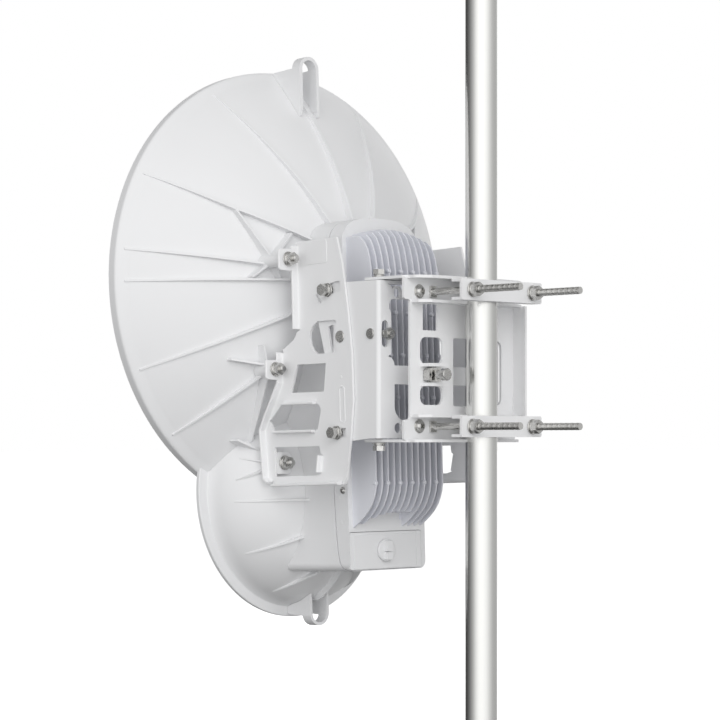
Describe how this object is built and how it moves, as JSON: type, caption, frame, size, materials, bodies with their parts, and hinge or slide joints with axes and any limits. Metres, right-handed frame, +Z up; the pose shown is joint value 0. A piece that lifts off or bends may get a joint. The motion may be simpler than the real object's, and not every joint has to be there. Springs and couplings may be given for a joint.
{
  "type": "wireless bridge dish antenna",
  "caption": "Point to point dish antenna with a large and a small reflector, a finned radio housing and a tilt and swing bracket clamped to a pole.",
  "frame": {"origin": "centre of the closed foot of the pole", "axes": "+Z up along the pole, +Y the way the dishes face, +X to the right seen from behind"},
  "size_m": [0.4976, 0.4319, 1],
  "materials": {
    "tube": "satin zinc",
    "bracket_paint": "white powder coat",
    "dish_plastic": "satin",
    "feed_plastic": "satin",
    "cover_casting": "light grey powder coat",
    "hardware": "zinc plated"
  },
  "bodies": {
    "pole_mount": {"pole": "tube", "pole_bracket": "bracket_paint", "clamp_jaw_upper": "bracket_paint", "clamp_jaw_lower": "bracket_paint", "azimuth_screw": "hardware", "clamp_rod_upper_left": "hardware", "clamp_nut_upper_left": "hardware", "clamp_rod_lower_left": "hardware", "clamp_nut_lower_left": "hardware", "clamp_rod_upper_right": "hardware", "clamp_nut_upper_right": "hardware", "clamp_rod_lower_right": "hardware", "clamp_nut_lower_right": "hardware", "azimuth_bolt_upper": "hardware", "azimuth_bolt_lower": "hardware"},
    "azimuth_bracket": {"alignment_bracket": "bracket_paint", "elevation_screw_left": "hardware", "pivot_pin_left": "hardware", "pivot_pin_right": "hardware", "lock_bolt_upper_left": "hardware", "lock_bolt_lower_left": "hardware", "lock_bolt_upper_right": "hardware", "lock_bolt_lower_right": "hardware"},
    "antenna": {"side_arm_left": "bracket_paint", "side_arm_right": "bracket_paint", "main_reflector": "dish_plastic", "small_reflector": "dish_plastic", "hub_housing": "dish_plastic", "finned_cover": "cover_casting", "port_door": "dish_plastic", "door_knob": "dish_plastic", "lifting_lug_top": "dish_plastic", "lifting_lug_foot": "dish_plastic", "main_feed": "feed_plastic", "small_feed": "feed_plastic", "stud_nut_upper_left": "hardware", "stud_nut_middle_left": "hardware", "stud_nut_lower_left": "hardware", "stud_nut_upper_right": "hardware", "stud_nut_middle_right": "hardware", "stud_nut_lower_right": "hardware"}
  },
  "joints": [
    {"name": "azimuth", "type": "hinge", "parent": "pole_mount", "child": "azimuth_bracket", "pos_m": [-0.07, 0.0824, 0.5], "axis": [0, 0, 1], "range_deg": [-8, 7]},
    {"name": "elevation", "type": "hinge", "parent": "azimuth_bracket", "child": "antenna", "pos_m": [0, 0.1139, 0.5249], "axis": [1, 0, 0], "range_deg": [-4.5, 4.5]}
  ]
}
